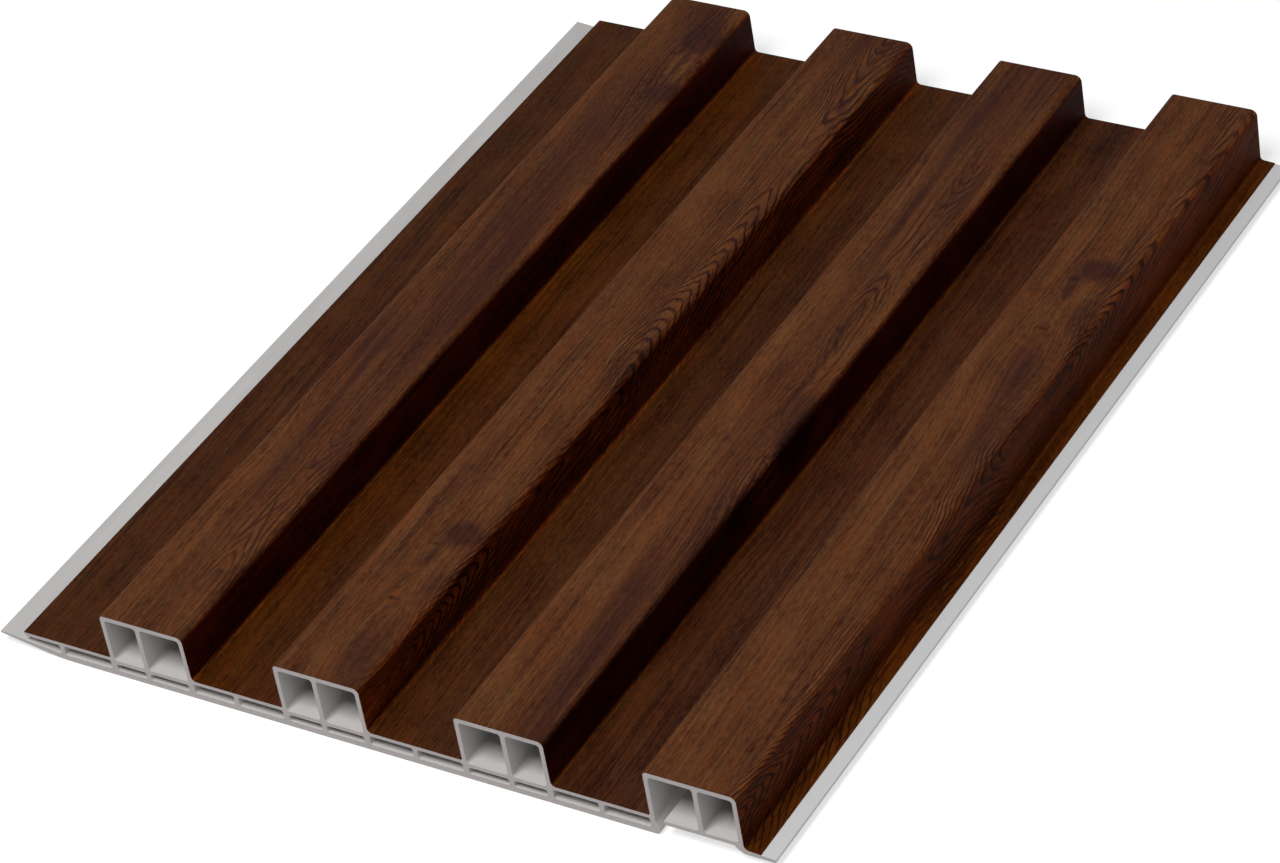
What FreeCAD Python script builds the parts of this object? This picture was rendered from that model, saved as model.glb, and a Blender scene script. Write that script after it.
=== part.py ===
"""Slatted wall panel: a short length of hollow plastic wall cladding with a wood-print film on its face.

The panel lies on its back. X runs across the slats, Y along them, Z out of the wall.
The section is drawn from X = 0 at the film's left edge and is centred before it is extruded.
Sizes are in millimetres.
"""
import FreeCAD, Part
import math
import os

# Length and slats
length = 220.0              # cut length, along the slats
pitch = 40.0                # from one slat to the next, and so a quarter of the width that it covers
slat_width = 19.1           # plastic only, the film adds its thickness on both sides
slat_rise = 10.5            # slat top above the groove face
slat_web_shifts = (-1.0, -0.5, 0.8, 1.0)    # each slat's inner web, off the slat's middle
groove_web_shifts = (-0.5, -0.2, 0.0)       # each full groove's inner web, off the groove's middle

# Walls
base_thickness = 4.3        # back plane to groove face, plastic only
back_skin = 1.3
groove_skin = 0.8
side_wall = 0.9
top_wall = 1.0
slat_floor = 0.9            # skin between a slat's two cells and the cells behind them
slat_floor_height = 2.9     # underside of that skin above the back plane
web = 1.0
wall_web = 1.3              # webs that stand behind a slat's side walls
film_thickness = 0.2

# Rounds
left_shoulder = 0.9
right_shoulder = 1.2
left_foot = 0.4
right_foot = 1.1
slat_cell_round = 0.7
base_cell_round = 0.5

# Left edge: a slot for the next panel's tongue and a sprung nailing flange behind it
slot_depth = 8.3            # from the film's edge
flange_reach = 6.2          # beyond the film's edge
flange_bend = 8.0           # where it leaves the back plane, inside the film's edge
flange_lift = 2.4           # underside of its tip above the back plane
flange_tip = 0.5            # thickness at the tip
flange_bend_round = 40.0

# Right edge: a tongue for the next panel's slot
tongue_end_clearance = 2.1  # left free at the bottom of the slot
tongue_back_clearance = 0.1     # between the tongue and the slot's back wall
tongue_tip = 0.7            # thickness at the tip
tongue_root = 1.1           # thickness beside the slat
tongue_film = 3.4           # width of the film on it
tongue_root_round = 1.0
heel_width = 1.9            # thicker foot under the last slat's right wall
heel_drop = 0.7
heel_slope = 0.5
heel_round = 0.3

# Under the last slat, where the next panel's flange goes
slit = 1.9                  # gap in its floor beside the left wall
foot_width = 1.6            # of the left wall, where it stands on the back plane
foot_round = 1.0
edge_round = 0.2

slat_count = len(slat_web_shifts)
top_height = base_thickness + slat_rise
last_wall = slat_count * pitch - film_thickness
tongue_end = last_wall + film_thickness + slot_depth - tongue_end_clearance
tongue_underside = back_skin + tongue_back_clearance
section_middle = (tongue_end - flange_reach) / 2


def slat_left(number):
    """Plastic left face of a slat, counted from 0."""
    return (number + 1) * pitch - film_thickness - slat_width


def slat_right(number):
    """Plastic right face of a slat."""
    return slat_left(number) + slat_width


def slat_web_middle(number):
    """Middle of the web inside a slat."""
    return slat_left(number) + slat_width / 2 + slat_web_shifts[number]


def point(x, z):
    """Place of a section point on the near end of the panel."""
    return FreeCAD.Vector(x - section_middle, -length / 2, z)


def path_edges(corners, closed):
    """Lines and arcs along corners, given as (x, z, radius of the round)."""
    count = len(corners)
    starts, ends, arcs = [], [], []
    for number, (x, z, radius) in enumerate(corners):
        here = point(x, z)
        end_of_path = not closed and number in (0, count - 1)
        if radius <= 0 or end_of_path:
            starts.append(here)
            ends.append(here)
            arcs.append(None)
            continue
        before = point(*corners[number - 1][:2]) - here
        after = point(*corners[(number + 1) % count][:2]) - here
        half_angle = before.getAngle(after) / 2
        before.normalize()
        after.normalize()
        middle_way = before + after
        middle_way.normalize()
        tangent = radius / math.tan(half_angle)
        bulge = radius / math.sin(half_angle) - radius
        starts.append(here + before * tangent)
        ends.append(here + after * tangent)
        arcs.append(Part.Arc(starts[-1], here + middle_way * bulge, ends[-1]).toShape())
    edges = []
    for number in range(count):
        if arcs[number]:
            edges.append(arcs[number])
        if number + 1 < count or closed:
            edges.append(Part.LineSegment(ends[number], starts[(number + 1) % count]).toShape())
    return edges


def closed_face(corners):
    """Flat face inside a closed path of rounded corners."""
    return Part.Face(Part.Wire(path_edges(corners, True)))


def cell(left, right, bottom, top, radius):
    """Rounded rectangular hollow of the section."""
    corners = [(left, bottom), (right, bottom), (right, top), (left, top)]
    return closed_face([(x, z, radius) for x, z in corners])


def tongue_top(x):
    """Height of the tongue's bare top face, which falls towards its tip."""
    share = (x - last_wall) / (tongue_end - last_wall)
    return tongue_underside + tongue_root + share * (tongue_tip - tongue_root)


def film_path():
    """Rounded corners of the plastic face under the film, from its left edge to its right edge."""
    corners = [(0, base_thickness, 0)]
    for number in range(slat_count):
        last = number == slat_count - 1
        left, right = slat_left(number), slat_right(number)
        corners.append((left, base_thickness, left_foot))
        corners.append((left, top_height, left_shoulder))
        corners.append((right, top_height, right_shoulder))
        if last:
            corners.append((right, tongue_top(right), tongue_root_round))
        else:
            corners.append((right, base_thickness, right_foot))
    film_end = last_wall + tongue_film
    corners.append((film_end, tongue_top(film_end), 0))
    return corners


def offset_path(corners, distance):
    """The same open path moved to its outer side, with each round kept about its own centre."""
    moved = []
    for number, (x, z, radius) in enumerate(corners):
        here = point(x, z)
        ways = []
        if number > 0:
            ways.append(here - point(*corners[number - 1][:2]))
        if number + 1 < len(corners):
            ways.append(point(*corners[number + 1][:2]) - here)
        for way in ways:
            way.normalize()
        normals = [FreeCAD.Vector(-way.z, 0, way.x) for way in ways]
        side = normals[0] + normals[-1]
        side.normalize()
        reach = distance / side.dot(normals[0])
        turn = ways[0].x * ways[-1].z - ways[0].z * ways[-1].x
        new_radius = radius - math.copysign(distance, turn) if radius > 0 else 0
        moved.append((x + side.x * reach, z + side.z * reach, new_radius))
    return moved


def outline():
    """Outer outline of the plastic, with the left slot and both edges."""
    underside = slat_floor_height
    foot_left = slat_left(slat_count - 1)
    flange_end = -flange_reach
    corners = film_path()
    corners += [
        (tongue_end, tongue_top(tongue_end), edge_round),
        (tongue_end, tongue_underside, edge_round),
        (last_wall, tongue_underside, tongue_root_round),
        (last_wall - heel_width + heel_slope, underside - heel_drop, heel_round),
        (last_wall - heel_width, underside, heel_round),
        (foot_left + side_wall, underside, 0),
        (foot_left + foot_width, back_skin, 0),
        (foot_left + foot_width, 0, foot_round),
        (flange_bend, 0, flange_bend_round),
        (flange_end, flange_lift, 0),
        (flange_end, flange_lift + flange_tip, edge_round),
        (slot_depth, back_skin, base_cell_round),
        (slot_depth, base_thickness - groove_skin, base_cell_round),
        (0, base_thickness - groove_skin, edge_round),
    ]
    return closed_face(corners)


def slat_cells(number):
    """The two hollows inside a slat."""
    bottom = slat_floor_height + slat_floor
    top = top_height - top_wall
    middle = slat_web_middle(number)
    return [
        cell(slat_left(number) + side_wall, middle - web / 2, bottom, top, slat_cell_round),
        cell(middle + web / 2, slat_right(number) - side_wall, bottom, top, slat_cell_round),
    ]


def behind_slat_cells(number):
    """The two flat hollows between a slat's floor and the back."""
    inset = (side_wall + wall_web) / 2
    middle = slat_web_middle(number)
    return [
        cell(slat_left(number) + inset, middle - web / 2, back_skin, slat_floor_height, base_cell_round),
        cell(middle + web / 2, slat_right(number) - inset, back_skin, slat_floor_height, base_cell_round),
    ]


def behind_groove_cells(left, right, web_middle):
    """The flat hollows behind a groove, on both sides of its web."""
    ceiling = base_thickness - groove_skin
    inset = (wall_web - side_wall) / 2
    return [
        cell(left + inset, web_middle - web / 2, back_skin, ceiling, base_cell_round),
        cell(web_middle + web / 2, right - inset, back_skin, ceiling, base_cell_round),
    ]


def hollows():
    """Every hollow of the section that the outline doesn't already have."""
    cells = [cell(slot_depth + web, slat_left(0) - (wall_web - side_wall) / 2,
                  back_skin, base_thickness - groove_skin, base_cell_round)]
    for number in range(slat_count):
        cells += slat_cells(number)
    for number in range(slat_count - 1):
        cells += behind_slat_cells(number)
        left, right = slat_right(number), slat_left(number + 1)
        cells += behind_groove_cells(left, right, (left + right) / 2 + groove_web_shifts[number])
    slit_left = slat_left(slat_count - 1) + side_wall
    slit_top = slat_floor_height + slat_floor + slat_cell_round
    cells.append(cell(slit_left, slit_left + slit, slat_floor_height, slit_top, 0))
    return cells


def along_the_panel(face):
    """A section face drawn out to the panel's length."""
    return face.extrude(FreeCAD.Vector(0, length, 0))


def hollow_profile():
    """The extruded plastic body with its cells, slot, flange and tongue."""
    return along_the_panel(outline().cut(hollows())).removeSplitter()


def printed_film():
    """The wood-print film, one sheet wrapped over the whole face."""
    inner = path_edges(film_path(), False)
    outer = path_edges(offset_path(film_path(), film_thickness), False)
    inner_wire, outer_wire = Part.Wire(inner), Part.Wire(outer)
    ends = []
    for inner_end, outer_end in zip(inner_wire.OrderedVertexes[::len(inner)],
                                    outer_wire.OrderedVertexes[::len(outer)]):
        ends.append(Part.LineSegment(inner_end.Point, outer_end.Point).toShape())
    border = Part.Wire(Part.__sortEdges__(inner + outer + ends))
    return along_the_panel(Part.Face(border))


def main():
    os.makedirs("parts", exist_ok=True)
    nodes = {"hollow_profile": hollow_profile(), "printed_film": printed_film()}
    for name, shape in nodes.items():
        solid = shape.Solids[0]
        box = solid.BoundBox
        print(name, "valid", solid.isValid(), "solids", len(shape.Solids), "volume %.0f" % solid.Volume,
              "box %.2f %.2f %.2f" % (box.XLength, box.YLength, box.ZLength))
        solid.exportStep(os.path.join("parts", name + ".step"))


main()
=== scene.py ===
"""Slatted wall panel: its wood-print film, grey plastic, light and camera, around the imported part.

Everything is in metres in the part's own frame: X across the slats, Y along them, Z out of the wall.
The wood print is drawn on the film as a flat sheet, from the film's left edge over every slat.
"""
import math

import bpy
from mathutils import Matrix, Vector


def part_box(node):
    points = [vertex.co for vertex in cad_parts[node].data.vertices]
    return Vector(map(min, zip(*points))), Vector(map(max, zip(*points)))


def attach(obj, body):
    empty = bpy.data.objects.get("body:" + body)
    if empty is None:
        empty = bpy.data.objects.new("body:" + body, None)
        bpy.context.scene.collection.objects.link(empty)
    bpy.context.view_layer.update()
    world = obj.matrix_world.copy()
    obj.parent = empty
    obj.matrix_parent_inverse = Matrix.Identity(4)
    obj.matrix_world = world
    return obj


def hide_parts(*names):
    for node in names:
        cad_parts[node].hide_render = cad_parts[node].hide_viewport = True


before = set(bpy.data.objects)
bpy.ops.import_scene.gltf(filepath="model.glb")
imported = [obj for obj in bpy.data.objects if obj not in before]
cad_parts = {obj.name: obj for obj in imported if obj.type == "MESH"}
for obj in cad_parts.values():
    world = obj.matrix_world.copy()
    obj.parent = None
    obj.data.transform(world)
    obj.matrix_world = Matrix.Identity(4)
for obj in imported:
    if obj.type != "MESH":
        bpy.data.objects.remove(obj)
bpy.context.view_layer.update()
film_low, film_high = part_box("printed_film")

mm = 0.001

# Outer face of the film across the panel
pitch = 40.0 * mm
slat_count = 4
slat_width = 19.5 * mm
slat_rise = 10.5 * mm
film_thickness = 0.2 * mm
left_shoulder = 1.1 * mm
right_shoulder = 1.4 * mm
left_foot = 0.2 * mm
right_foot = 0.9 * mm
tongue_root_round = 0.8 * mm
tongue_face = 2.7 * mm          # film on the tongue beside the last slat
tongue_fall = 0.0625            # of the tongue's face, per unit of width
slat_top = film_high.z
groove_face = slat_top - slat_rise
mid_height = groove_face + slat_rise / 2
left_edge = film_low.x
near_end = film_low.y
far_end = film_high.y
covered_half = slat_count * pitch / 2     # half of the width between both edges' lips

arc_steps = 10                  # in each round of the section
film_rows = 44                  # of faces along the film
sharp_angle = math.radians(35)

# Painted shade on the print, in red, green and blue beside the tops: the grooves, with their darker
# print, and the slats' walls are painted darker. The grooves and the walls are listed from the left
# edge.
top_painted_shade = Vector((1.0, 1.0, 1.0))
groove_print_and_painted_shades = [Vector((0.56, 0.51, 0.485)), Vector((0.61, 0.56, 0.58)), Vector((0.59, 0.575, 0.68)),
                 Vector((0.565, 0.55, 0.73))]
foot_painted_shade = Vector((-0.08, -0.19, -0.56))     # painted shade beside the foot of a slat's right wall
foot_shade_reaches = [6.5 * mm, 3.0 * mm, 3.2 * mm]   # of that painted shade, for the grooves that have such a foot
foot_painted_highlight = Vector((0.45, 0.35, 0.15))          # a painted highlight: a light line in the round of that foot
# The tongue's darker print with painted shade
tongue_print_and_painted_shade = Vector((0.66, 0.46, 0.13))
# Painted shade on the slats' left walls
left_wall_painted_shade = Vector((0.85, 0.80, 0.75))
# Painted shade on the slats' right walls
right_wall_painted_shades = [Vector((0.26, 0.07, 0.01)), Vector((0.72, 0.34, 0.12)),
                     Vector((0.26, 0.07, 0.01)), Vector((0.61, 0.30, 0.05))]
shoulder_shade_turn = 3               # power by which the painted shade on the right shoulder's round goes from top to wall
wall_top_painted_light = 0.8             # painted light: the right walls are lighter beside the slat's top
wall_top_light_reach = 1.5 * mm
groove_shade_contrast = 1.15          # painted shade: contrast of the print in the grooves, beside the tops
wall_shade_contrasts = [1.9, 1.9, 1.9, 1.4]           # and on the right walls, also with the painted shade
on_wall_slack = 1.0 * mm        # so that a place in a right wall's foot counts as past the slat


def face_corners():
    """Corners of the film's outer face as (x, z, radius), from its left edge to its right edge."""
    corners = [(left_edge, groove_face, 0)]
    for number in range(slat_count):
        right = left_edge + (number + 1) * pitch
        left = right - slat_width
        corners.append((left, groove_face, left_foot))
        corners.append((left, slat_top, left_shoulder))
        corners.append((right, slat_top, right_shoulder))
        if number < slat_count - 1:
            corners.append((right, groove_face, right_foot))
    last_right = left_edge + slat_count * pitch
    film_end = film_high.x
    corners.append((last_right, tongue_face, tongue_root_round))
    corners.append((film_end, tongue_face - (film_end - last_right) * tongue_fall, 0))
    return corners


def normal_of(way):
    """Outward normal of a stretch of the face that runs along way."""
    return Vector((-way.y, way.x))


def face_path():
    """Points of the film's outer face with their normals, with every round as an arc."""
    corners = face_corners()
    path = []
    for number, (x, z, radius) in enumerate(corners):
        here = Vector((x, z))
        before = here - Vector(corners[number - 1][:2]) if number else None
        after = Vector(corners[number + 1][:2]) - here if number + 1 < len(corners) else None
        if before is None or after is None:
            way = (after or before).normalized()
            path.append((here, normal_of(way)))
            continue
        before.normalize()
        after.normalize()
        turn = before.angle_signed(after)
        tangent = radius * math.tan(abs(turn) / 2)
        centre = here - before * tangent - normal_of(before) * math.copysign(radius, turn)
        for step in range(arc_steps + 1):
            part_turn = turn * step / arc_steps
            normal = Matrix.Rotation(-part_turn, 2) @ normal_of(before)
            path.append((centre + normal * math.copysign(radius, turn), normal))
    return path


def flat_painted_shade(place):
    """Darker print and painted shade on the grooves and tongue, most beside a wall's foot; none on the
    tops.
    """
    if place.y > mid_height:
        return top_painted_shade
    slats_passed = int((place.x - left_edge + on_wall_slack) / pitch)
    if slats_passed == slat_count:
        return tongue_print_and_painted_shade
    if slats_passed == 0:
        return groove_print_and_painted_shades[0]
    from_foot = place.x - left_edge - slats_passed * pitch
    in_foot_shade = math.exp(-from_foot / foot_shade_reaches[slats_passed - 1])
    return groove_print_and_painted_shades[slats_passed] + foot_painted_shade * in_foot_shade


def wall_number(place):
    """Number of the right wall that is next to a place of the section."""
    return min(int((place.x - left_edge - slat_width / 2) / pitch), slat_count - 1)


def shade_contrast_at(place, normal):
    """Contrast of the print at a place of the section, raised with the painted shade below the tops and
    on the right walls.
    """
    flat = 1.0 if place.y > mid_height else groove_shade_contrast
    return flat + (wall_shade_contrasts[wall_number(place)] - flat) * max(normal.x, 0)


def painted_shade_at(place, normal):
    """Painted shade at a place of the section, as red, green and blue factors on the print."""
    flat = flat_painted_shade(place)
    if normal.x <= 0:
        return flat.lerp(left_wall_painted_shade, -normal.x)
    # Painted shade of the right wall, with painted light just below the slat's top
    near_top_light = math.exp((place.y - slat_top) / wall_top_light_reach)
    wall = right_wall_painted_shades[wall_number(place)] * (1 + wall_top_painted_light * near_top_light)
    if place.y > mid_height:
        return flat.lerp(wall, normal.x ** shoulder_shade_turn)
    # Painted highlight: a light line in the round of a right wall's foot
    foot_highlight_share = 4 * normal.x * (1 - normal.x)
    return flat.lerp(wall, normal.x) + foot_painted_highlight * foot_highlight_share


def mesh_object(name, points, faces):
    """A new mesh object in the scene, made of these points and faces."""
    mesh = bpy.data.meshes.new(name)
    mesh.from_pydata(points, [], faces)
    piece = bpy.data.objects.new(name, mesh)
    bpy.context.scene.collection.objects.link(piece)
    return piece


def film_faces(across):
    """Faces of a sheet whose rows have this many points on the outer side and then on the inner side."""
    faces = []
    last = across - 1
    for row in range(film_rows):
        outer, outer_next = row * 2 * across, (row + 1) * 2 * across
        inner, inner_next = outer + across, outer_next + across
        for n in range(last):
            faces.append((outer + n, outer + n + 1, outer_next + n + 1, outer_next + n))
            faces.append((inner + n, inner_next + n, inner_next + n + 1, inner + n + 1))
        faces.append((outer, outer_next, inner_next, inner))
        faces.append((outer + last, inner + last, inner_next + last, outer_next + last))
    far = film_rows * 2 * across
    for n in range(last):
        faces.append((n, n + across, n + across + 1, n + 1))
        faces.append((far + n, far + n + 1, far + n + across + 1, far + n + across))
    return faces


def wood_film():
    """The printed film as a thin sheet over the face.

    Its points keep their place on the flat sheet, their painted shade and the contrast raised with it as
    attributes.
    """
    path = face_path()
    reach = [0.0]
    for before, after in zip(path, path[1:]):
        reach.append(reach[-1] + (after[0] - before[0]).length)
    points, sheet, shades, contrasts = [], [], [], []
    for row in range(film_rows + 1):
        y = near_end + (far_end - near_end) * row / film_rows
        for depth in (0.0, film_thickness):
            for (place, normal), s in zip(path, reach):
                under = place - normal * depth
                points.append((under.x, y, under.y))
                sheet.extend((s, y, 0.0))
                # Painted shade at this place of the section, kept as an attribute
                shades.extend(painted_shade_at(place, normal))
                contrasts.append(shade_contrast_at(place, normal))
    film = mesh_object("wood_film", points, film_faces(len(path)))
    mesh = film.data
    mesh.attributes.new("sheet", "FLOAT_VECTOR", "POINT").data.foreach_set("vector", sheet)
    mesh.attributes.new("shade", "FLOAT_VECTOR", "POINT").data.foreach_set("vector", shades)
    mesh.attributes.new("contrast", "FLOAT", "POINT").data.foreach_set("value", contrasts)
    mesh.polygons.foreach_set("use_smooth", [True] * len(mesh.polygons))
    mesh.set_sharp_from_angle(angle=sharp_angle)
    return film


class Signal:
    """One number in a material's nodes, with arithmetic that adds the nodes for it."""

    def __init__(self, tree, socket):
        self.tree = tree
        self.socket = socket

    def made(self, operation, *others):
        """The result of a Math node on this number and others."""
        node = self.tree.nodes.new("ShaderNodeMath")
        node.operation = operation
        for place, value in enumerate((self,) + others):
            connect(self.tree, value, node.inputs[place])
        return Signal(self.tree, node.outputs[0])

    def __add__(self, other):
        return self.made("ADD", other)

    def __sub__(self, other):
        return self.made("SUBTRACT", other)

    def __mul__(self, other):
        return self.made("MULTIPLY", other)

    def __truediv__(self, other):
        return self.made("DIVIDE", other)

    __radd__ = __add__
    __rmul__ = __mul__

    def ranged(self, low, high, to_low=0.0, to_high=1.0, smooth=True):
        """This number's place between low and high, held inside them."""
        node = self.tree.nodes.new("ShaderNodeMapRange")
        node.interpolation_type = "SMOOTHSTEP" if smooth else "LINEAR"
        for place, value in enumerate((self, low, high, to_low, to_high)):
            connect(self.tree, value, node.inputs[place])
        return Signal(self.tree, node.outputs[0])

    def faded(self):
        """1 where this number is 0, and falling away to 0 as it grows."""
        return self.made("MULTIPLY", -1.0).made("EXPONENT")


def connect(tree, value, socket):
    """Puts a plain value or another node's result into a socket."""
    if isinstance(value, Signal):
        tree.links.new(value.socket, socket)
    elif isinstance(value, bpy.types.NodeSocket):
        tree.links.new(value, socket)
    else:
        socket.default_value = value


def new_material(name):
    """A material with nodes, its tree and its Principled shader."""
    material = bpy.data.materials.new(name)
    material.use_nodes = True
    tree = material.node_tree
    return material, tree, tree.nodes["Principled BSDF"]


def attribute(tree, name):
    """An attribute of the mesh."""
    node = tree.nodes.new("ShaderNodeAttribute")
    node.attribute_name = name
    return node


def vector(tree, x, y, z=0.0):
    """A vector from three numbers."""
    node = tree.nodes.new("ShaderNodeCombineXYZ")
    for value, socket in zip((x, y, z), node.inputs):
        connect(tree, value, socket)
    return node.outputs[0]


def parts_of(tree, whole):
    """The three numbers of a vector."""
    node = tree.nodes.new("ShaderNodeSeparateXYZ")
    connect(tree, whole, node.inputs[0])
    return [Signal(tree, out) for out in node.outputs]


def noise(tree, place, detail=2.0, rough=0.5, twist=0.0):
    """A Noise texture at a place, from 0 to 1."""
    node = tree.nodes.new("ShaderNodeTexNoise")
    connect(tree, place, node.inputs["Vector"])
    node.inputs["Scale"].default_value = 1.0
    node.inputs["Detail"].default_value = detail
    node.inputs["Roughness"].default_value = rough
    node.inputs["Distortion"].default_value = twist
    return Signal(tree, node.outputs["Fac"])


def colour_mix(tree, share, first, second, blend="MIX"):
    """One colour laid over another."""
    node = tree.nodes.new("ShaderNodeMix")
    node.data_type = "RGBA"
    node.blend_type = blend
    connect(tree, share, node.inputs["Factor"])
    connect(tree, first, node.inputs[6])
    connect(tree, second, node.inputs[7])
    return node.outputs[2]


def add_bump(tree, shader, height, strength, distance):
    """Fine relief on a material."""
    bump = tree.nodes.new("ShaderNodeBump")
    bump.inputs["Strength"].default_value = strength
    bump.inputs["Distance"].default_value = distance
    connect(tree, height, bump.inputs["Height"])
    connect(tree, bump.outputs[0], shader.inputs["Normal"])


# The print, on the flat sheet in millimetres: u across the sheet of the print and v along it. That
# sheet lies a little askew on the panel, and its figures come again on the second pair of slats, half a
# repeat further on.
sheet_slant = 0.035
repeat_across = 121.3
repeat_along = 230.0
second_copy = 140.0             # u from which the figures come again
first_v, last_v = -115.0, 230.0         # range of v of the curves along the print
warp_width = 2.6                # how far the grain wanders across the sheet

# Layers of noise in the print: cell width and length, slice of the noise, detail and roughness.
# The legs run along the rings, and their width counts in rings.
layers = {
    "warp": (9.0, 42.0, 0.0, 3.0, 0.55),
    "patch": (5.0, 18.0, 3.0, 2.0, 0.5),
    "jag": (1.3, 10.0, 7.0, 2.0, 0.5),
    "short": (0.4, 2.0, 11.0, 2.0, 0.6),
    "fine": (0.5, 50.0, 2.0, 2.0, 0.6),
    "streak": (1.2, 50.0, 4.0, 2.0, 0.5),
    "band": (4.5, 80.0, 1.0, 2.0, 0.5),
    "blotch": (7.0, 14.0, 9.0, 3.0, 0.6),
    "legs": (0.55, 30.0, 6.0, 2.0, 0.6),
    "pores": (0.24, 2.8, 5.0, 1.0, 0.5),
    "curl": (1.4, 3.2, 13.0, 3.0, 0.6),
    "hue": (2.0, 20.0, 8.0, 3.0, 0.65),
}
curl_twist = 1.6
# Lightness of the print: its middle, and how much each layer changes it
middle_light = 0.6
light_weights = {"short": 1.4, "fine": 1.75, "streak": 0.3, "band": 1.0, "blotch": 1.1}
legs_weight = 1.1               # inside the figures only
relief_weights = {"fine": 0.8, "short": 0.5}    # of the layers in the fine relief
print_roughness = (0.50, 0.62)

# Nested arches, each value as (v, value) along one repeat: the middle line, the rings counted along it,
# which rise where the arches point along +v, and how clearly the rings are drawn. The steps are across
# the sheet, to the left and to the right of the middle line, and so are the reaches.
small_arches = {
    "axis": [(-115, 43.7), (-98, 42.6), (-80, 42.4), (-68, 42.8), (-50, 43.7), (-20, 44.5), (30, 45),
             (80, 44), (111, 41.8)],
    "rings": [(-115, 2), (-108, 0.6), (-98, 0), (-88, 0.8), (-82, 2), (-76, 2.6), (-68, 2.75),
              (-60, 2.6), (-54, 2), (-50, 1), (-46, 0), (-40, -1), (-28, -1.5), (0, -1.5), (60, -1),
              (95, 0), (108, 2.4)],
    "rings_per_repeat": 0,
    "clarity": [(-115, 0.55), (-98, 0.5), (-80, 0.9), (-68, 0.9), (-50, 0.75), (-40, 0.3), (-20, 0),
                (80, 0), (100, 0.3), (110, 0.55)],
    "steps": (0.8, 0.8),
    "left_reach": [(-115, 3.2), (115, 3.2)],
    "right_reach": [(-115, 4.2), (115, 4.2)],
}
tall_arches = {
    "axis": [(-115, 109.3), (-90, 109.3), (-67, 108.6), (-50, 108.6), (-38, 109.2), (-27, 110),
             (-12, 108.8), (0, 106.8), (12, 106.6), (26, 108.2), (45, 107.5), (60, 107), (83, 108),
             (92, 107), (105, 106.8)],
    "rings": [(-115, 0), (-105, 1), (-92, 3.5), (-67, 12), (-50, 15), (-17, 19), (-2, 22), (12, 26),
              (27, 30.5), (49, 35), (58, 36), (75, 35), (82, 34), (98, 32), (108, 29.5)],
    "rings_per_repeat": 28,
    "clarity": [(-115, 0.15), (-97, 0.35), (-86, 0.9), (-67, 1), (-55, 0.6), (-30, 0.75), (-12, 0.8),
                (0, 1), (50, 1), (60, 0.5), (74, 0.55), (84, 1), (100, 1), (110, 0.5)],
    "steps": (0.65, 1.25),
    "left_reach": [(-115, 4), (-100, 4), (-45, 4.2), (-20, 4.5), (0, 6), (50, 6.5), (105, 6.5)],
    "right_reach": [(-115, 5.4), (-90, 6.3), (-50, 8.0), (-20, 8.6), (0, 11.5), (50, 12.5), (105, 13.5)],
}
tip_round = 2.0                 # half width of an arch's round tip
between_arches = 77.0           # u that parts the two figures
reach_power = 4.0               # by which the rings stop at their reach
patch_levels = (-0.2, 0.1)      # of the patches' noise
patch_clearness = (0.55, 1.3)   # of the rings at those levels
ring_jag = 0.9                  # how far a ring's edge is jagged, in rings
edge_start = 0.5                # share of a ring at which its dark edge starts
edge_full = 0.78                # at which it is full
edge_fade = 0.9                 # and from which it fades to the ring's end

# Knots that push the grain aside: middle, radii and push, which closes rings past 1
knots = [
    ((49.5, 88.0), (8.0, 17.0), 0.75),
    ((28.0, -54.0), (4.5, 14.0), 0.9),
    ((97.9, -69.0), (1.5, 2.6), 1.1),
    ((98.6, -85.5), (1.4, 1.8), 1.1),
    ((100.8, -98.0), (7.0, 15.0), 0.75),
    ((62.6, 98.0), (3.0, 9.0), 0.8),
]
# Places where the grain that bends round a knot is drawn with dark lines: middle, radii and clearness
knot_lines = [
    ((46.0, 84.0), (4.8, 20.0), 0.9),
    ((30.5, -40.0), (4.0, 16.0), 0.5),
    ((98.6, -69.0), (2.0, 3.0), 0.5),
]
knot_line_step = 1.05           # from one of these lines to the next
knot_line_jag = 1.2             # how far they are jagged, in lines
# Places where the grain curls: middle, radii and strength
curls = [
    ((47.5, 90.0), (4.5, 11.0), 2.6),
    ((46.5, 74.0), (4.0, 8.0), 1.6),
    ((100.5, -78.0), (4.0, 14.0), 1.3),
    ((30.5, -50.0), (3.0, 14.0), 1.2),
]
# Dark clouds in the print: middle, radii and strength
clouds = [
    ((49.0, 98.5), (4.5, 6.0), 1.7),
    ((46.0, 107.0), (4.0, 5.0), 0.7),
    ((49.6, 77.5), (3.4, 4.5), 1.1),
    ((43.3, 12.0), (5.0, 70.0), 0.65),
    ((47.3, 5.0), (2.4, 32.0), 0.5),
    ((38.6, 38.0), (2.8, 42.0), 0.6),
    ((50.0, 66.0), (1.8, 10.0), 0.8),
    ((44.0, 70.0), (2.8, 18.0), 0.35),
    ((37.0, -48.0), (1.9, 38.0), 0.9),
    ((33.0, -20.0), (3.2, 12.0), 0.6),
    ((38.5, -108.0), (4.0, 16.0), 0.3),
    ((93.0, 20.0), (3.0, 90.0), 0.25),
    ((45.5, -52.0), (3.0, 10.0), 0.35),
    ((102.0, -64.8), (4.2, 3.4), 1.5),
    ((98.8, -73.0), (1.5, 3.6), 0.8),
    ((98.2, -69.0), (1.0, 0.7), 0.9),
    ((98.6, -85.6), (1.3, 0.5), 0.9),
    ((104.3, -79.5), (2.4, 5.0), 0.85),
    ((100.5, -99.0), (4.2, 11.0), 0.85),
    ((102.5, -120.0), (4.0, 14.0), 0.7),
    ((96.8, -50.0), (1.5, 3.0), 0.4),
    ((108.9, 83.5), (2.0, 3.0), 0.6),
    ((62.6, 98.0), (1.8, 4.5), 0.5),
    ((129.5, 20.0), (4.5, 60.0), 0.4),
]
full_cloud = 1.15               # strength at which a cloud hides the brown under it
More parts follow.
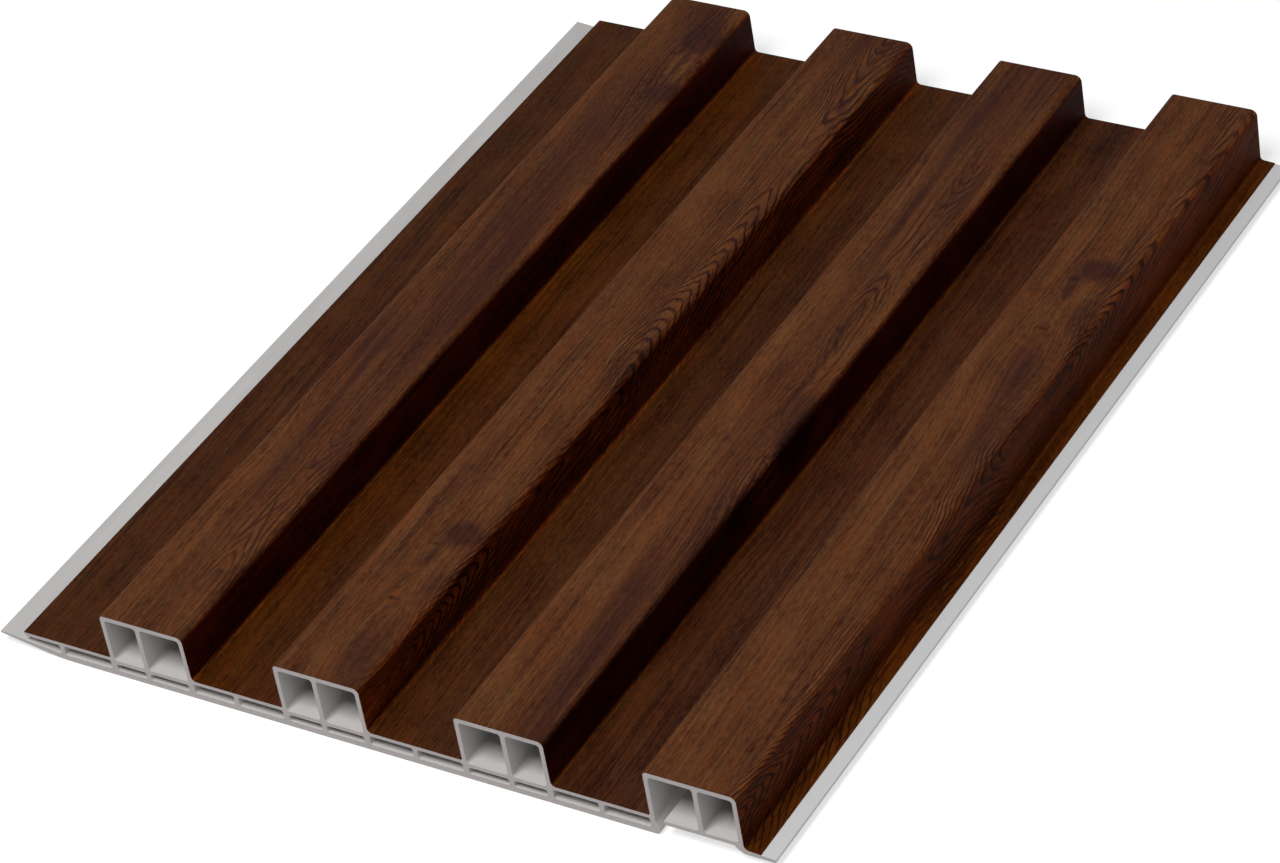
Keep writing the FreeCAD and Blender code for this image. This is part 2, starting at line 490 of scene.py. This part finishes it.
cloud_breaks = {"blotch": 2.4, "streak": 1.5}   # how much these layers break up the clouds

# Single dark lines of the print: (v, u) along each
dark_lines = [
    [(-86, 45.2), (-80, 44.2), (-74, 43.1), (-67, 41.3), (-62, 39.6)],
    [(-88, 39.6), (-81, 40.6), (-75, 42.0), (-68, 43.9), (-61, 45.0)],
]
line_width = 0.35
line_jag = 0.5
line_clearness = 0.9
dark_line_reach = (-74.5, 9.0)  # v of their middle and how far they go each way

# Browns of the print, from dark to light, and of what is drawn on them
plain_browns = (0.027, 0.0083, 0.0047, 1), (0.112, 0.0393, 0.0130, 1)
cloud_browns = (0.015, 0.0053, 0.0045, 1), (0.046, 0.0150, 0.0091, 1)
ring_brown = (0.020, 0.0068, 0.0058, 1)
ring_cover = 0.9
pore_brown = (0.024, 0.0070, 0.0050, 1)
pore_cover = 0.5
pore_start, pore_full = 0.10, 0.22      # levels of the pores' noise
green_change, blue_change = 0.85, 1.2   # of the hue from place to place
middle_red = 0.075              # red of the plain print, about which the painted shade raises the contrast


def layer(tree, name, across, along, twist=0.0):
    """One layer of the print's noise, about 0."""
    width, length, slice_of_noise, detail, rough = layers[name]
    place = vector(tree, across / width, along / length, slice_of_noise)
    return noise(tree, place, detail, rough, twist) - 0.5


def along_print(tree, v, points, per_repeat=0.0):
    """A smooth curve of v through points of one repeat, which comes again with per_repeat added."""
    places = points + [(place + repeat_along, value + per_repeat) for place, value in points]
    places = [point for point in places if point[0] <= last_v]
    values = [value for place, value in places]
    low, high = min(values) - 1.0, max(values) + 1.0
    node = tree.nodes.new("ShaderNodeFloatCurve")
    curve = node.mapping.curves[0]
    span = last_v - first_v
    spread = [((place - first_v) / span, (value - low) / (high - low)) for place, value in places]
    curve.points[0].location = spread[0]
    curve.points[1].location = spread[-1]
    for location in spread[1:-1]:
        curve.points.new(*location)
    node.mapping.update()
    connect(tree, v.ranged(first_v, last_v, smooth=False), node.inputs["Value"])
    return Signal(tree, node.outputs[0]) * (high - low) + low


class PrintPlace:
    """Where a point of the film lies on the print's sheet, in millimetres."""

    def __init__(self, tree):
        self.tree = tree
        reach, y, _ = parts_of(tree, attribute(tree, "sheet").outputs["Vector"])
        y = y / mm
        self.whole_u = reach / mm + y * sheet_slant
        again = self.whole_u.made("GREATER_THAN", second_copy)
        self.u = self.whole_u - again * repeat_across
        self.v = y + again * (repeat_along / 2)
        warp = layer(tree, "warp", self.whole_u, self.v) * warp_width
        self.bent_u = self.u + warp
        self.grain = self.whole_u + warp
        for centre, radii, push in knots:
            self.grain = self.grain - self.spot(centre, radii) * (self.bent_u - centre[0]) * push

    def spot(self, centre, radii):
        """A soft round spot on the print, 1 at its centre, once in each repeat."""
        across = (self.bent_u - centre[0]) / radii[0]
        along = (self.v - centre[1]).made("WRAP", repeat_along / 2, -repeat_along / 2) / radii[1]
        return (across * across + along * along).faded()

    def spots(self, wanted):
        """The sum of soft spots, each at its strength."""
        drawn = [self.spot(centre, radii) * strength for centre, radii, strength in wanted]
        return sum(drawn[1:], drawn[0])

    def grain_layer(self, name):
        """A layer of noise that runs along the grain."""
        return layer(self.tree, name, self.grain, self.v)

    def along(self, points, per_repeat=0.0):
        """A smooth curve along the print."""
        return along_print(self.tree, self.v, points, per_repeat)


def arched_rings(place, arches):
    """Ring number and clearness of one figure of nested arches."""
    off = place.bent_u - place.along(arches["axis"])
    left, right = (1 / step for step in arches["steps"])
    width = (off * off + tip_round ** 2).made("SQRT")
    rings = width * ((left + right) / 2) - off * ((left - right) / 2)
    rings = rings + place.along(arches["rings"], arches["rings_per_repeat"])
    left_reach = place.along(arches["left_reach"])
    right_reach = place.along(arches["right_reach"])
    far = off.made("MAXIMUM", 0.0) / right_reach - off.made("MINIMUM", 0.0) / left_reach
    near = far.made("POWER", reach_power).faded()
    return rings, place.along(arches["clarity"]) * near


def ring_figures(tree, place):
    """Ring number and clearness of both figures, each on its own part of the sheet."""
    first_rings, first_clear = arched_rings(place, small_arches)
    second_rings, second_clear = arched_rings(place, tall_arches)
    is_second = place.u.made("GREATER_THAN", between_arches)
    ring_number = first_rings + (second_rings - first_rings) * is_second
    patch = layer(tree, "patch", place.whole_u, place.v).ranged(*patch_levels, *patch_clearness)
    clear = (first_clear.made("MAXIMUM", second_clear) * patch).made("MINIMUM", 1.0)
    return ring_number, clear


def late_edge(ring_number):
    """1 on the dark late edge of each ring."""
    phase = ring_number.made("FRACT")
    return phase.ranged(edge_start, edge_full) * phase.ranged(1.0, edge_fade)


def dark_drawing(tree, place, ring_number, clear):
    """Where the print is drawn dark: late edges of the rings, lines round the knots and single lines."""
    jag = layer(tree, "jag", place.whole_u, place.v)
    drawing = late_edge(ring_number + jag * ring_jag) * clear
    bent_lines = late_edge(place.grain / knot_line_step + jag * knot_line_jag)
    for centre, radii, clearness in knot_lines:
        drawing = drawing.made("MAXIMUM", bent_lines * place.spot(centre, radii) * clearness)
    middle, reach = dark_line_reach
    drawn = (place.v - middle).made("ABSOLUTE").ranged(reach, reach / 2)
    for line in dark_lines:
        beside = (place.u - place.along(line) + jag * line_jag) / line_width
        drawing = drawing.made("MAXIMUM", (beside * beside).faded() * drawn * line_clearness)
    return drawing


def weighted(grain, weights, start):
    """Layers of the grain, added to a start by their weights."""
    total = start
    for name, weight in weights.items():
        total = total + grain[name] * weight
    return total


def print_light(tree, place, grain, ring_number, clear):
    """Lightness of the print: its streaks, those along the rings inside the figures, and its curls."""
    legs = layer(tree, "legs", ring_number, place.v) * clear * legs_weight
    light = weighted(grain, light_weights, legs + middle_light)
    curl = layer(tree, "curl", place.bent_u, place.v, curl_twist)
    return light + curl * place.spots(curls)


def print_colour(tree, place, grain, light, drawing):
    """Colour of the print on a flat sheet: brown grain with clouds, dark drawing and pores on it."""
    brown = colour_mix(tree, light, *plain_browns)
    hue = place.grain_layer("hue")
    hues = vector(tree, 1.0, hue * green_change + 1.0, hue * blue_change + 1.0)
    brown = colour_mix(tree, 1.0, brown, hues, "MULTIPLY")
    uneven = weighted(grain, cloud_breaks, 1.0)
    cloud = (place.spots(clouds) * uneven).ranged(0.0, full_cloud)
    brown = colour_mix(tree, cloud, brown, colour_mix(tree, light, *cloud_browns))
    brown = colour_mix(tree, drawing * ring_cover, brown, ring_brown)
    pores = place.grain_layer("pores").ranged(pore_start, pore_full)
    return colour_mix(tree, pores * pore_cover, brown, pore_brown)


def with_painted_shade(tree, brown):
    """The print's colour with the painted shade of its place on the section, and the contrast raised
    with it.
    """
    split = tree.nodes.new("ShaderNodeSeparateColor")
    connect(tree, brown, split.inputs[0])
    extra_contrast = Signal(tree, attribute(tree, "contrast").outputs["Fac"]) - 1.0
    deeper = (Signal(tree, split.outputs[0]) / middle_red).made("POWER", extra_contrast)
    brown = colour_mix(tree, 1.0, brown, vector(tree, deeper, deeper, deeper), "MULTIPLY")
    return colour_mix(tree, 1.0, brown, attribute(tree, "shade").outputs["Vector"], "MULTIPLY")


def wood_print_and_shade_material():
    """Satin wood print: slanting streaks, arched rings, knots, dark clouds and pores, with painted
    shade.
    """
    material, tree, shader = new_material("wood_print")
    place = PrintPlace(tree)
    grain = {name: place.grain_layer(name) for name in light_weights}
    ring_number, clear = ring_figures(tree, place)
    drawing = dark_drawing(tree, place, ring_number, clear)
    light = print_light(tree, place, grain, ring_number, clear)
    # Painted shade of the grooves, walls and tongue laid on the print
    brown = with_painted_shade(tree, print_colour(tree, place, grain, light, drawing))
    connect(tree, brown, shader.inputs["Base Color"])
    add_bump(tree, shader, weighted(grain, relief_weights, 0.0), strength=0.25, distance=0.03 * mm)
    connect(tree, grain["streak"].ranged(-0.3, 0.3, *print_roughness), shader.inputs["Roughness"])
    shader.inputs["Specular IOR Level"].default_value = 0.02
    return material


# Greys of the plastic, with painted light: paler greys in its hollows and on its tongue
skin_greys = (0.395, 0.384, 0.376, 1), (0.440, 0.428, 0.418, 1)
drawn_grey = (0.30, 0.285, 0.275, 1)
# Painted light: a paler grey in the hollows
hollow_painted_light_grey = (0.46, 0.443, 0.430, 1)
# Painted light: a paler grey on the tongue
tongue_painted_light_grey = (0.50, 0.50, 0.50, 1)
sawn_greys = (0.285, 0.262, 0.256, 1), (0.345, 0.320, 0.314, 1)
above_back = 1.0                # millimetres above the back plane from which the hollows' painted light grey is used
draw_cover = 0.12               # of the drawn grey, where its lines are strongest
draw_relief = 0.3               # of those lines, beside the saw marks
sawn_facing = (0.7, 0.9)        # how squarely a face looks along the panel, from plain to sawn
plastic_roughness = (0.5, 0.6)

# Noise in the plastic: width, length and height of its cells, in millimetres
cloud_cells = (6.0, 30.0, 6.0)
draw_cells = (0.5, 40.0, 0.5)
saw_cells = (1.2, 0.4, 0.18)
noise_levels = (0.3, 0.7)       # between which it goes from one grey to the other


def plastic_noise(tree, place, cells, detail):
    """Noise in the plastic, from 0 to 1."""
    return noise(tree, vector(tree, *(part / size for part, size in zip(place, cells))), detail)


def plastic_with_painted_light_material():
    """Matte grey plastic with painted light, paler in its hollows and on the tongue; with faint clouds
    and saw marks.
    """
    material, tree, shader = new_material("bare_plastic")
    in_metres = parts_of(tree, tree.nodes.new("ShaderNodeTexCoord").outputs["Object"])
    place = [part / mm for part in in_metres]
    x, y, z = place
    facing = parts_of(tree, tree.nodes.new("ShaderNodeNewGeometry").outputs["True Normal"])
    sawn = facing[1].made("ABSOLUTE").ranged(*sawn_facing)
    cloudy = plastic_noise(tree, place, cloud_cells, detail=3.0)
    draw = plastic_noise(tree, place, draw_cells, detail=2.0)
    saw = plastic_noise(tree, place, saw_cells, detail=3.0)
    between_edges = x.made("ABSOLUTE").made("LESS_THAN", covered_half / mm)
    # Painted light: the hollows between the edges get a paler grey
    inside = between_edges * z.made("GREATER_THAN", above_back)
    on_tongue = x.made("GREATER_THAN", covered_half / mm)
    grey = colour_mix(tree, cloudy.ranged(*noise_levels), *skin_greys)
    grey = colour_mix(tree, draw.ranged(*noise_levels, 0.0, draw_cover), grey, drawn_grey)
    # Painted light in the hollows and on the tongue
    grey = colour_mix(tree, inside, grey, hollow_painted_light_grey)
    grey = colour_mix(tree, on_tongue, grey, tongue_painted_light_grey)
    grey = colour_mix(tree, sawn, grey, colour_mix(tree, saw.ranged(*noise_levels), *sawn_greys))
    connect(tree, grey, shader.inputs["Base Color"])
    add_bump(tree, shader, saw * sawn + draw * draw_relief, strength=0.2, distance=0.05 * mm)
    connect(tree, cloudy.ranged(0.2, 0.8, *plastic_roughness), shader.inputs["Roughness"])
    shader.inputs["Specular IOR Level"].default_value = 0.35
    return material


def seen_directly(tree):
    """1 on what the camera sees itself or in a reflection or through glass."""
    path = tree.nodes.new("ShaderNodeLightPath")
    camera_ray = Signal(tree, path.outputs["Is Camera Ray"])
    glossy = Signal(tree, path.outputs["Is Glossy Ray"])
    through = Signal(tree, path.outputs["Is Transmission Ray"])
    return camera_ray.made("MAXIMUM", glossy).made("MAXIMUM", through)


def studio_world(strength):
    """Even pale surroundings: white as a background, and of a lower strength as light."""
    world = bpy.data.worlds.new("studio")
    world.use_nodes = True
    bpy.context.scene.world = world
    tree = world.node_tree
    background = tree.nodes["Background"]
    background.inputs["Color"].default_value = (1, 1, 1, 1)
    seen = seen_directly(tree)
    connect(tree, seen * (1 - strength) + strength, background.inputs["Strength"])


# The floor: its half width, how far it lies under the panel, its greys as light falls back from it and
# as it is seen, and the glow that brings the seen one to white outside the shadow
floor_half = 3.0
floor_drop = 0.1 * mm
floor_lit = (0.85, 0.85, 0.85, 1)
floor_seen = (0.38, 0.38, 0.38, 1)
floor_glow = 0.65


def studio_floor():
    """Pale floor that stays white in the picture and keeps a soft shadow of the panel."""
    corners = [(-floor_half, -floor_half, 0), (floor_half, -floor_half, 0), (floor_half, floor_half, 0),
               (-floor_half, floor_half, 0)]
    floor = mesh_object("floor", corners, [(0, 1, 2, 3)])
    floor.location.z = -floor_drop
    material, tree, shader = new_material("floor_white")
    seen = seen_directly(tree)
    shader.inputs["Roughness"].default_value = 0.9
    shader.inputs["Specular IOR Level"].default_value = 0.0
    shader.inputs["Emission Color"].default_value = (1, 1, 1, 1)
    connect(tree, seen * floor_glow, shader.inputs["Emission Strength"])
    connect(tree, colour_mix(tree, seen, floor_lit, floor_seen), shader.inputs["Base Color"])
    floor.data.materials.append(material)


def lamp(name, way, distance, size, power):
    """A soft square lamp that shines on the panel from the direction way."""
    light = bpy.data.lights.new(name, "AREA")
    light.shape = "RECTANGLE"
    light.size, light.size_y = size
    light.energy = power
    holder = bpy.data.objects.new(name, light)
    bpy.context.scene.collection.objects.link(holder)
    direction = Vector(way).normalized()
    holder.location = direction * distance
    holder.rotation_euler = direction.to_track_quat("Z", "Y").to_euler()
    holder.visible_camera = False


# The camera: where it stands, seen from the panel, how far it is turned on its own axis, and its lens
azimuth, elevation, roll = (math.radians(angle) for angle in (36.698, 37.595, -10.551))
camera_distance = 0.9304
camera_aim = Vector((-0.0002, -0.0103, 0.0))
camera_sensor = 36.0
camera_lens = 131.84
camera_near = 0.01              # nearest that it sees


def camera():
    """The camera of the photograph: above the near right corner, turned a little on its own axis."""
    back = Vector((math.sin(azimuth) * math.cos(elevation), -math.cos(azimuth) * math.cos(elevation),
                   math.sin(elevation)))
    level = Vector((math.cos(azimuth), math.sin(azimuth), 0))
    upright = back.cross(level)
    right = level * math.cos(roll) + upright * math.sin(roll)
    up = upright * math.cos(roll) - level * math.sin(roll)
    data = bpy.data.cameras.new("camera")
    data.sensor_width = camera_sensor
    data.lens = camera_lens
    data.clip_start = camera_near
    holder = bpy.data.objects.new("camera", data)
    bpy.context.scene.collection.objects.link(holder)
    rotation = Matrix((right, up, back)).transposed().to_4x4()
    holder.matrix_world = Matrix.Translation(camera_aim + back * camera_distance) @ rotation
    bpy.context.scene.camera = holder


film = wood_film()
film.data.materials.append(wood_print_and_shade_material())
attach(film, "root")
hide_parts("printed_film")

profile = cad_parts["hollow_profile"]
profile.data.materials.clear()
profile.data.materials.append(plastic_with_painted_light_material())

studio_world(strength=0.25)
studio_floor()
lamp("key", way=(0.0, -0.45, 0.87), distance=1.3, size=(0.5, 0.5), power=16.0)
camera()
bpy.context.scene.view_settings.view_transform = "Standard"
